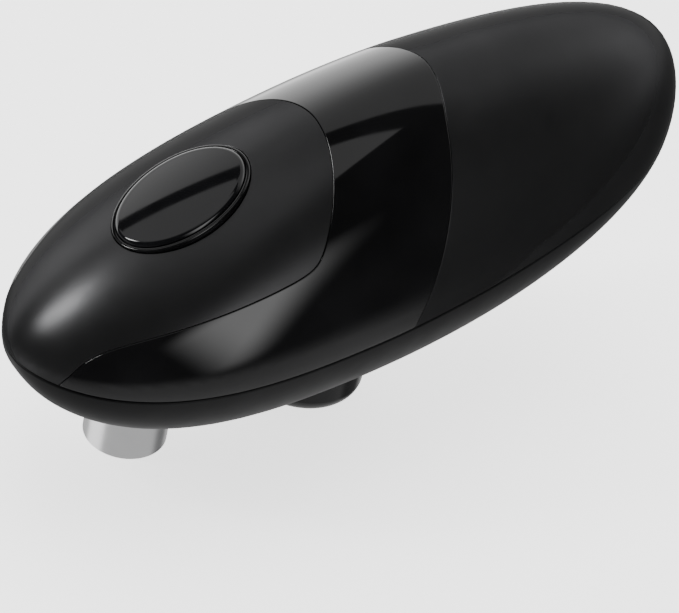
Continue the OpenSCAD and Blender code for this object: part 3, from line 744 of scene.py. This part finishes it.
def make_spring():
    """A round-wire coil below the button, from its foot on the board to its top."""
    count = SPRING_TURNS * SPRING_STEPS + 1
    share = np.linspace(0, 1, count)
    angle = 2 * math.pi * SPRING_TURNS * share
    rise = SPRING_FOOT + SPRING_WIRE + (SPRING_TOP - SPRING_FOOT - 2 * SPRING_WIRE) * share
    lines = []
    faces = [tuple(side * count for side in range(WIRE_SIDES)),
             tuple(side * count + count - 1 for side in reversed(range(WIRE_SIDES)))]
    for side in range(WIRE_SIDES):
        turn = 2 * math.pi * side / WIRE_SIDES
        radius = SPRING_R + SPRING_WIRE * math.cos(turn)
        lines.append(np.stack([radius * np.cos(angle), radius * np.sin(angle),
                               rise + SPRING_WIRE * math.sin(turn)], axis=1))
        a, b = side * count, (side + 1) % WIRE_SIDES * count
        faces += [(a + k, a + k + 1, b + k + 1, b + k) for k in range(count - 1)]
    return make_object("press_spring", at_button(np.concatenate(lines)), faces)


spring = make_spring()
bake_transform(spring)
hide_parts("button_spring")


# --------------------------------------------------------------- materials

RAMP_START, RAMP_END = 0.3, 0.7

# Waves to the metre of the slow changes in colour and in sheen
MOULDED_COLOUR, MOULDED_SHEEN = 45, 160
LACQUER_COLOUR, LACQUER_SHEEN, LACQUER_SWELL = 60, 220, 70
LACQUER_LIGHTER, LACQUER_LIFT = 1.5, 0.001
LACQUER_SMOOTHEST, LACQUER_DULLEST = 0.8, 1.25
METAL_COLOUR = 120


def add(tree, kind, inputs=None, **settings):
    """A node with its settings, and each input given a value or linked to a socket."""
    node = tree.nodes.new(kind)
    for name, value in settings.items():
        setattr(node, name, value)
    for key, value in (inputs or {}).items():
        if isinstance(value, bpy.types.NodeSocket):
            tree.links.new(value, node.inputs[key])
        else:
            node.inputs[key].default_value = value
    return node


def blank(name, metallic=0.0):
    """A new material, with its tree, shader and the object's own coordinates."""
    made = bpy.data.materials.new(name)
    made.use_nodes = True
    tree = made.node_tree
    shader = tree.nodes["Principled BSDF"]
    shader.inputs["Metallic"].default_value = metallic
    place = add(tree, "ShaderNodeTexCoord").outputs["Object"]
    return made, tree, shader, place


def noise(tree, place, scale, detail=2.0, stretch=(1, 1, 1)):
    """Noise from 0 to 1, with scale waves to the metre."""
    spread = add(tree, "ShaderNodeMapping", {"Vector": place, "Scale": stretch})
    inputs = {"Vector": spread.outputs["Vector"], "Scale": scale, "Detail": detail}
    return add(tree, "ShaderNodeTexNoise", inputs).outputs["Fac"]


def between(tree, fac, low, high):
    """A number that goes from low to high with fac."""
    inputs = {"Value": fac, "From Min": RAMP_START, "From Max": RAMP_END, "To Min": low, "To Max": high}
    return add(tree, "ShaderNodeMapRange", inputs).outputs["Result"]


def shade_mix(tree, fac, first, second):
    """A colour that goes from first to second with fac."""
    ramp = add(tree, "ShaderNodeValToRGB", {"Fac": fac})
    ramp.color_ramp.elements[0].position = RAMP_START
    ramp.color_ramp.elements[1].position = RAMP_END
    ramp.color_ramp.elements[0].color = (*first, 1)
    ramp.color_ramp.elements[1].color = (*second, 1)
    return ramp.outputs["Color"]


def bump(tree, shader, height, depth):
    made = add(tree, "ShaderNodeBump", {"Height": height, "Distance": depth, "Strength": 1.0})
    tree.links.new(made.outputs["Normal"], shader.inputs["Normal"])


def feed(tree, shader, **sockets):
    for name, source in sockets.items():
        tree.links.new(source, shader.inputs[name.replace("_", " ")])


def moulded(name, dark, light, roughness, spread, grain, depth, specular=0.5):
    """Moulded plastic: a fine grain, and colour and sheen that drift slowly over it."""
    made, tree, shader, place = blank(name)
    shader.inputs["Specular IOR Level"].default_value = specular
    drift = noise(tree, place, MOULDED_COLOUR, 3)
    fine = noise(tree, place, grain, 2)
    feed(tree, shader, Base_Color=shade_mix(tree, drift, dark, light),
         Roughness=between(tree, noise(tree, place, MOULDED_SHEEN, 4),
                           roughness - spread, roughness + spread))
    bump(tree, shader, fine, depth)
    return made


def coated(name, dark, light, roughness, spread, grain, depth):
    """Soft-touch coating: it reflects as little at a glancing angle as face on."""
    made = moulded(name, dark, light, roughness, spread, grain, depth)
    shader = made.node_tree.nodes["Principled BSDF"]
    shader.inputs["Metallic"].default_value = COATING_SHARE
    shader.inputs["Specular Tint"].default_value = COATING_EDGE
    return made


def lacquered(name, shade, roughness, wave):
    """Polished plastic with the long faint waves of its moulding."""
    made, tree, shader, place = blank(name)
    light = tuple(c * LACQUER_LIGHTER + LACQUER_LIFT for c in shade)
    feed(tree, shader, Base_Color=shade_mix(tree, noise(tree, place, LACQUER_COLOUR, 2), shade, light),
         Roughness=between(tree, noise(tree, place, LACQUER_SHEEN, 4),
                           roughness * LACQUER_SMOOTHEST, roughness * LACQUER_DULLEST))
    bump(tree, shader, noise(tree, place, LACQUER_SWELL, 1), wave)
    return made


def metal(name, dark, light, roughness, spread, scale, stretch, depth, anisotropic=0.0):
    """Bare metal with the marks of its making, drawn out by stretch."""
    made, tree, shader, place = blank(name, metallic=1.0)
    marks = noise(tree, place, scale, 3, stretch)
    feed(tree, shader, Base_Color=shade_mix(tree, noise(tree, place, METAL_COLOUR, 3), dark, light),
         Roughness=between(tree, marks, roughness - spread, roughness + spread))
    bump(tree, shader, marks, depth)
    if anisotropic:
        shader.inputs["Anisotropic"].default_value = anisotropic
        tangent = add(tree, "ShaderNodeTangent", direction_type="RADIAL", axis="Z")
        tree.links.new(tangent.outputs["Tangent"], shader.inputs["Tangent"])
    return made


COATING_SHARE = 0.85
COATING_EDGE = (0.15, 0.15, 0.15, 1)
EVEN = (1, 1, 1)
TURNED = (0.02, 0.02, 1)
ROLLED = (1, 0.05, 0.05)
WOUND = (1, 1, 0.08)


def build_materials():
    """One finish for each of the record's material slots.

    Each gives its dark and light shade, its roughness and how far that strays, then its
    grain in waves to the metre, a metal's stretch of it, and the grain's depth in metres."""
    return {
        "matte_black": coated("soft_black", (0.036, 0.036, 0.037), (0.042, 0.042, 0.043),
                              0.30, 0.02, 2600, 1.2e-6),
        "cover_black": moulded("tub_black", (0.003, 0.003, 0.0032), (0.0045, 0.0045, 0.0047),
                               0.42, 0.03, 1900, 4e-6, 0.12),
        "piano_black": lacquered("piano_black", (0.0016, 0.0016, 0.0018), 0.05, 2e-6),
        "button_black": lacquered("button_black", (0.0016, 0.0016, 0.002), 0.06, 1e-6),
        "boss_metal": metal("turned_boss", (0.84, 0.84, 0.85), (0.90, 0.90, 0.91),
                            0.2, 0.03, 5200, TURNED, 6e-7, 0.7),
        "blade_steel": metal("ground_blade", (0.60, 0.61, 0.63), (0.72, 0.73, 0.75),
                             0.2, 0.06, 3000, TURNED, 5e-7),
        "gear_steel": metal("sintered_steel", (0.26, 0.26, 0.27), (0.42, 0.42, 0.43),
                            0.42, 0.08, 1800, EVEN, 3e-6),
        "zinc_steel": metal("zinc_plate", (0.52, 0.53, 0.55), (0.68, 0.69, 0.72),
                            0.3, 0.08, 900, EVEN, 1e-6),
        "gear_white": moulded("acetal_white", (0.70, 0.68, 0.62), (0.78, 0.76, 0.70),
                              0.38, 0.05, 1500, 2e-6),
        "frame_plastic": moulded("nylon_frame", (0.60, 0.59, 0.54), (0.68, 0.66, 0.61),
                                 0.5, 0.05, 1300, 5e-6),
        "pinion_brass": metal("brass", (0.62, 0.44, 0.17), (0.74, 0.55, 0.25),
                              0.28, 0.06, 2400, TURNED, 1e-6),
        "copper_winding": metal("windings", (0.42, 0.16, 0.07), (0.6, 0.27, 0.12),
                                0.35, 0.08, 1600, WOUND, 2e-5),
        "board_green": moulded("solder_mask", (0.012, 0.09, 0.035), (0.02, 0.12, 0.05),
                               0.35, 0.06, 700, 4e-6),
        "inner_black": moulded("inner_black", (0.014, 0.014, 0.015), (0.022, 0.022, 0.023),
                               0.55, 0.04, 1200, 6e-6),
        "plunger_cream": moulded("cream", (0.66, 0.58, 0.42), (0.72, 0.65, 0.50),
                                 0.45, 0.05, 1400, 2e-6),
        "spring_steel": metal("spring_wire", (0.56, 0.57, 0.6), (0.7, 0.71, 0.74),
                              0.25, 0.05, 2600, EVEN, 4e-7),
        "magnet_nickel": metal("nickel", (0.52, 0.50, 0.47), (0.66, 0.64, 0.60),
                               0.22, 0.07, 500, EVEN, 1e-6),
        "cell_jacket": metal("cell_sleeve", (0.42, 0.23, 0.07), (0.52, 0.30, 0.10),
                             0.3, 0.05, 700, ROLLED, 1e-6),
    }


finishes = build_materials()
SLOTS = {part["node"]: part["material_slot"] for part in frame["record"]["subparts"]}
PIECE_SLOTS = {front: "matte_black", rear: "matte_black", cover: "cover_black", door: "cover_black",
               band: "piano_black", bezel: "piano_black", button: "button_black", spring: "spring_steel"}


def finish_with(piece, slot):
    piece.data.materials.clear()
    piece.data.materials.append(finishes[slot])


for piece, slot in PIECE_SLOTS.items():
    finish_with(piece, slot)
for node, piece in frame["nodes"].items():
    finish_with(piece, SLOTS[node])


# ------------------------------------------------------- floor and lights

FLOOR_HALF = 4.0
FLOOR_DROP = 0.0002
FLOOR_DULL, FLOOR_BRIGHT = (0.84, 0.84, 0.84), (0.86, 0.86, 0.86)
FLOOR_WAVES = 3
FLOOR_ROUGHNESS = 0.8
FLOOR_GLOW = 2.0


def make_floor():
    """A pale glowing ground, left out of reflections."""
    mesh = bpy.data.meshes.new("floor")
    corners = [(FLOOR_HALF * x, FLOOR_HALF * y, 0) for x, y in ((-1, -1), (1, -1), (1, 1), (-1, 1))]
    mesh.from_pydata(corners, [], [(0, 1, 2, 3)])
    floor = bpy.data.objects.new("floor", mesh)
    bpy.context.collection.objects.link(floor)
    floor.location.z = -FLOOR_DROP
    made, tree, shader, place = blank("floor")
    feed(tree, shader,
         Base_Color=shade_mix(tree, noise(tree, place, FLOOR_WAVES, 2), FLOOR_DULL, FLOOR_BRIGHT))
    shader.inputs["Roughness"].default_value = FLOOR_ROUGHNESS
    shader.inputs["Emission Color"].default_value = (1, 1, 1, 1)
    shader.inputs["Emission Strength"].default_value = FLOOR_GLOW
    floor.data.materials.append(made)
    floor.visible_glossy = False


def calc(tree, operation, a, b=0.0, c=0.0):
    return add(tree, "ShaderNodeMath", {0: a, 1: b, 2: c}, operation=operation).outputs[0]


def along(tree, direction, axis):
    """How far a direction points along an axis."""
    node = add(tree, "ShaderNodeVectorMath", {0: direction, 1: axis}, operation="DOT_PRODUCT")
    return node.outputs["Value"]


def step(tree, value, start, end):
    """0 before start, 1 after end, smooth between."""
    return add(tree, "ShaderNodeMapRange", {"Value": value, "From Min": start, "From Max": end},
               interpolation_type="SMOOTHSTEP").outputs["Result"]


def product(tree, first, *others):
    for other in others:
        first = calc(tree, "MULTIPLY", first, other)
    return first


# The studio: a large softbox overhead and behind, a second beside it across a dark gap,
# a soft glow low on the near side, and the pale floor's light from below with a bright
# and a dark strip in it for the metal to reflect. Right, far and up are the frame's axes.
# A pair gives the place along an axis where a light starts and where it is whole.
BOX_EDGE = (0.83, 0.54, -0.14)
BOX_SIDE = (-0.61, 0.72, 0.325)
BOX_GAP = -0.12
BOX_SOFT = 0.008
BEND_FAR, BEND_RIGHT = (0.27, 0.42), (0.01, -0.06)
BEND_SLOPE, BEND_START = -0.6, 0.45
DROP_FAR, DROP = (0.55, 0.75), 0.2
FIRST_UP, FIRST_FAR = (-0.25, -0.05), (-0.62, -0.12)
FIRST_LOW, FIRST_GAIN, FIRST_LEAST = (0.98, 0.25), 1.93, 0.72
SECOND_ACROSS, SECOND_UP, SECOND_POWER = (-0.75, -0.35), (0.35, 0.6), 0.85
GLOW_AXIS = (1, 0, 0.6)
GLOW_RIGHT, GLOW_ALONG, GLOW_FAR = (0.32, 0.08), (-0.3, 0.15), (-0.8, -0.93)
GLOW_POWER = 3.4
BRIGHT_AXIS, BRIGHT_RANGE, BRIGHT_GAIN = (-0.85, 0.53, 0), (0.62, 0.70), 2.6
DARK_AXIS, DARK_RANGE, DARK_GAIN = (0.985, -0.17, 0), (0.62, 0.74), -0.8
BELOW_UP, BELOW_POWER = (-0.40, -0.9), 0.8
BEHIND_UP, BEHIND_FAR, BEHIND_POWER = (-0.1, -0.35), (-0.1, 0.3), 0.5
AMBIENT = 0.06
BACKDROP = 2.4


def make_studio():
    """Light that depends on direction, and a plain backdrop for the camera."""
    world = bpy.data.worlds.new("studio")
    bpy.context.scene.world = world
    world.use_nodes = True
    tree = world.node_tree
    direction = add(tree, "ShaderNodeTexCoord").outputs["Generated"]
    right = along(tree, direction, (1, 0, 0))
    far = along(tree, direction, (0, 1, 0))
    up = along(tree, direction, (0, 0, 1))
    bend = product(tree, step(tree, far, *BEND_FAR), step(tree, right, *BEND_RIGHT),
                   calc(tree, "MULTIPLY_ADD", far, BEND_SLOPE, BEND_START))
    across = calc(tree, "SUBTRACT", along(tree, direction, BOX_EDGE), bend)
    beside = along(tree, direction, BOX_SIDE)
    lowered = calc(tree, "MULTIPLY_ADD", step(tree, far, *DROP_FAR), DROP, up)
    first = product(tree, step(tree, across, -BOX_SOFT, BOX_SOFT), step(tree, lowered, *FIRST_UP),
                    step(tree, far, *FIRST_FAR),
                    calc(tree, "MULTIPLY_ADD", step(tree, up, *FIRST_LOW), FIRST_GAIN, FIRST_LEAST))
    second = product(tree, step(tree, across, BOX_GAP + BOX_SOFT, BOX_GAP - BOX_SOFT),
                     step(tree, beside, -BOX_SOFT, BOX_SOFT), step(tree, across, *SECOND_ACROSS),
                     step(tree, up, *SECOND_UP), SECOND_POWER)
    glow = product(tree, step(tree, right, *GLOW_RIGHT),
                   step(tree, along(tree, direction, GLOW_AXIS), *GLOW_ALONG),
                   step(tree, far, *GLOW_FAR), GLOW_POWER)
    bright = step(tree, along(tree, direction, BRIGHT_AXIS), *BRIGHT_RANGE)
    dark = step(tree, along(tree, direction, DARK_AXIS), *DARK_RANGE)
    strips = calc(tree, "MULTIPLY_ADD", dark, DARK_GAIN, calc(tree, "MULTIPLY_ADD", bright, BRIGHT_GAIN, 1.0))
    below = product(tree, step(tree, up, *BELOW_UP), strips, BELOW_POWER)
    behind = product(tree, step(tree, up, *BEHIND_UP), step(tree, far, *BEHIND_FAR), BEHIND_POWER)
    total = calc(tree, "ADD", calc(tree, "ADD", first, second),
                 calc(tree, "ADD", glow, calc(tree, "MAXIMUM", below, behind)))
    total = calc(tree, "ADD", total, AMBIENT)
    seen = add(tree, "ShaderNodeLightPath").outputs["Is Camera Ray"]
    strength = add(tree, "ShaderNodeMix", {0: seen, 2: total, 3: BACKDROP}, data_type="FLOAT").outputs[0]
    background = tree.nodes["Background"]
    background.inputs["Color"].default_value = (1, 1, 1, 1)
    tree.links.new(strength, background.inputs["Strength"])


LIGHT_TARGET = (0, 0, 0.05)


def area_light(name, towards, distance, size, power):
    """A lamp at a distance from the body, in the direction given, facing it."""
    data = bpy.data.lights.new(name, "AREA")
    data.shape = "RECTANGLE"
    data.size, data.size_y = size
    data.energy = power
    light = bpy.data.objects.new(name, data)
    bpy.context.collection.objects.link(light)
    towards = Vector(towards).normalized()
    light.location = Vector(LIGHT_TARGET) + towards * distance
    light.rotation_mode = "QUATERNION"
    light.rotation_quaternion = towards.to_track_quat("Z", "Y")
    return light


def make_lights():
    """A small lamp that makes the bright spot on the nose, and a soft one that reflections leave out."""
    area_light("nose_key", towards=(-0.75, 0.36, 0.52), distance=1.2, size=(0.2, 0.4), power=6.5)
    top = area_light("top_soft", towards=(0.2, 0.3, 0.95), distance=1.6, size=(1.4, 1.4), power=22)
    top.visible_glossy = False


make_floor()
make_studio()
make_lights()
